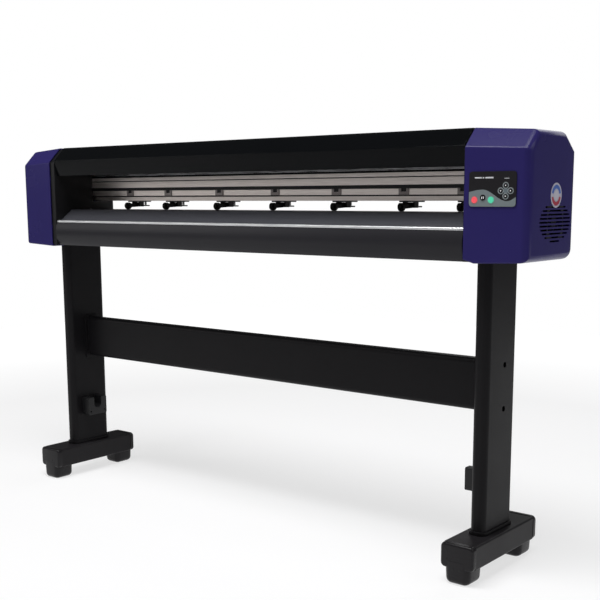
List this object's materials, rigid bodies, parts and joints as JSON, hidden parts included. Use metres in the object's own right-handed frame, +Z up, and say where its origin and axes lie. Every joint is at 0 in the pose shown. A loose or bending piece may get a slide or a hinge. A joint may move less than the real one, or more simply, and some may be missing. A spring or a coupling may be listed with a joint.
{
  "type": "vinyl cutter",
  "caption": "Floor-standing roll-fed vinyl cutter: long head with a hinged dark hood, purple end covers, sliding tool carriage, pinch rollers and key panel, on a two-legged stand with feet.",
  "frame": {"origin": "on the floor, under the middle of the machine", "axes": "+X along the machine to the operator's right, +Y from the operator's side to the back, +Z up"},
  "size_m": [1.984, 0.36, 1.172],
  "materials": {
    "cover_plastic": "gloss moulding",
    "hood_plastic": "smoked gloss sheet",
    "stand_paint": "satin powder coat",
    "foot_paint": "satin powder coat",
    "cap_plastic": "matt",
    "frame_paint": "satin",
    "platen_paint": "satin",
    "apron_paint": "satin",
    "trim_aluminium": "brushed",
    "beam_aluminium": "anodised",
    "rail_steel": "ground",
    "bolt_steel": "bright zinc",
    "pulley_aluminium": "turned",
    "black_plastic": "matt",
    "motor_black": "satin",
    "roller_rubber": "matt",
    "belt_rubber": "matt",
    "blade_brass": "turned",
    "coil_varnish": "varnished winding",
    "panel_plastic": "printed film",
    "key_black": "satin",
    "key_red": "satin",
    "key_green": "satin",
    "board_green": "solder mask",
    "label_film": "matt film"
  },
  "bodies": {
    "frame": {"left_foot": "foot_paint", "right_foot": "foot_paint", "foot_end_caps": "cap_plastic", "left_leg": "stand_paint", "right_leg": "stand_paint", "crossbar": "stand_paint", "left_roll_cradle": "black_plastic", "right_roll_cradle": "black_plastic", "stand_bolts": "bolt_steel", "base_beam": "frame_paint", "left_end_frame": "frame_paint", "right_end_frame": "frame_paint", "left_cover": "cover_plastic", "right_cover": "cover_plastic", "platen": "platen_paint", "front_apron": "apron_paint", "apron_trim": "trim_aluminium", "rear_apron": "apron_paint", "rear_cover": "frame_paint", "guide_beam": "beam_aluminium", "hood_hinge_pins": "bolt_steel", "linear_rail": "rail_steel", "carriage_belt": "belt_rubber", "belt_motor": "motor_black", "motor_plates": "rail_steel", "idler_post": "rail_steel", "shaft_bearings": "bolt_steel", "feed_motor": "motor_black", "feed_belt": "belt_rubber", "rail_clips": "trim_aluminium", "pinch_brackets": "black_plastic", "pinch_springs": "bolt_steel", "sticker_plate": "label_film", "control_panel": "panel_plastic", "electronics": "board_green", "power_inlet": "black_plastic", "fan_frame": "black_plastic"},
    "hood": {"hood": "hood_plastic"},
    "carriage": {"carriage": "motor_black", "carriage_cover": "black_plastic", "tool_guide_pins": "rail_steel", "tool_solenoid": "coil_varnish"},
    "tool": {"tool_holder": "motor_black", "blade_holder": "blade_brass"},
    "motor_pulley": {"motor_pulley": "pulley_aluminium"},
    "idler_pulley": {"idler_pulley": "pulley_aluminium"},
    "drive_shaft": {"drive_shaft": "rail_steel", "feed_wheel": "pulley_aluminium"},
    "feed_pulley": {"feed_pulley": "pulley_aluminium"},
    "pinch_arms": {"pinch_arms": "black_plastic"},
    "pinch_rollers": {"pinch_rollers": "roller_rubber"},
    "fan_rotor": {"fan_rotor": "black_plastic"},
    "power_switch": {"power_switch": "key_red"},
    "up_key": {"up_key": "key_black"},
    "down_key": {"down_key": "key_black"},
    "left_key": {"left_key": "key_black"},
    "right_key": {"right_key": "key_black"},
    "stop_key": {"stop_key": "key_red"},
    "mode_key": {"mode_key": "key_black"},
    "start_key": {"start_key": "key_green"}
  },
  "joints": [
    {"name": "hood_hinge", "type": "hinge", "parent": "frame", "child": "hood", "pos_m": [0, 0.058, 1.156], "axis": [-1, 0, 0], "range_deg": [0, 95]},
    {"name": "carriage_slide", "type": "slide", "parent": "frame", "child": "carriage", "axis": [1, 0, 0], "range_m": [-1.56, 0]},
    {"name": "tool_slide", "type": "slide", "parent": "carriage", "child": "tool", "axis": [0, 0, 1], "range_m": [-0.005, 0], "stiffness_N_per_m": 600, "springref_m": 0.012},
    {"name": "motor_pulley_spin", "type": "hinge", "parent": "frame", "child": "motor_pulley", "pos_m": [0.93, 0.06, 1.13], "axis": [0, 0, 1], "continuous": true},
    {"name": "idler_pulley_spin", "type": "hinge", "parent": "frame", "child": "idler_pulley", "pos_m": [-0.86, 0.06, 1.13], "axis": [0, 0, 1], "continuous": true},
    {"name": "drive_shaft_spin", "type": "hinge", "parent": "frame", "child": "drive_shaft", "pos_m": [0, 0.03, 0.949], "axis": [1, 0, 0], "continuous": true},
    {"name": "feed_pulley_spin", "type": "hinge", "parent": "frame", "child": "feed_pulley", "pos_m": [0.9, -0.056, 0.93], "axis": [1, 0, 0], "continuous": true},
    {"name": "pinch_lift", "type": "hinge", "parent": "frame", "child": "pinch_arms", "pos_m": [0, 0.076, 0.978], "axis": [-1, 0, 0], "range_deg": [0, 5], "stiffness_Nm_per_rad": 20, "springref_deg": -11.46, "deforming": ["pinch_springs"]},
    {"name": "pinch_roller_spin", "type": "hinge", "parent": "pinch_arms", "child": "pinch_rollers", "pos_m": [0, 0.03, 0.9729], "axis": [1, 0, 0], "continuous": true},
    {"name": "fan_spin", "type": "hinge", "parent": "frame", "child": "fan_rotor", "pos_m": [0.97, 0.022, 0.937], "axis": [1, 0, 0], "continuous": true},
    {"name": "power_switch_rocker", "type": "hinge", "parent": "frame", "child": "power_switch", "pos_m": [-0.87787, 0.12921, 0.9], "axis": [0.9991, 0.0418, 0], "range_deg": [-16, 0]},
    {"name": "up_key_press", "type": "slide", "parent": "frame", "child": "up_key", "axis": [-0.0376, 0.9993, 0], "range_m": [0, 0.0012], "stiffness_N_per_m": 300, "springref_m": -0.002},
    {"name": "down_key_press", "type": "slide", "parent": "frame", "child": "down_key", "axis": [-0.0376, 0.9993, 0], "range_m": [0, 0.0012], "stiffness_N_per_m": 300, "springref_m": -0.002},
    {"name": "left_key_press", "type": "slide", "parent": "frame", "child": "left_key", "axis": [-0.0376, 0.9993, 0], "range_m": [0, 0.0012], "stiffness_N_per_m": 300, "springref_m": -0.002},
    {"name": "right_key_press", "type": "slide", "parent": "frame", "child": "right_key", "axis": [-0.0376, 0.9993, 0], "range_m": [0, 0.0012], "stiffness_N_per_m": 300, "springref_m": -0.002},
    {"name": "stop_key_press", "type": "slide", "parent": "frame", "child": "stop_key", "axis": [-0.0376, 0.9993, 0], "range_m": [0, 0.0012], "stiffness_N_per_m": 300, "springref_m": -0.002},
    {"name": "mode_key_press", "type": "slide", "parent": "frame", "child": "mode_key", "axis": [-0.0376, 0.9993, 0], "range_m": [0, 0.0012], "stiffness_N_per_m": 300, "springref_m": -0.002},
    {"name": "start_key_press", "type": "slide", "parent": "frame", "child": "start_key", "axis": [-0.0376, 0.9993, 0], "range_m": [0, 0.0012], "stiffness_N_per_m": 300, "springref_m": -0.002}
  ],
  "couplings": [
    {"joint": "motor_pulley_spin", "follows": "carriage_slide", "rad_per_m": 83.333},
    {"joint": "idler_pulley_spin", "follows": "carriage_slide", "rad_per_m": 83.333},
    {"joint": "feed_pulley_spin", "follows": "drive_shaft_spin", "ratio": 2.5},
    {"joint": "pinch_roller_spin", "follows": "drive_shaft_spin", "ratio": -1.0435}
  ]
}
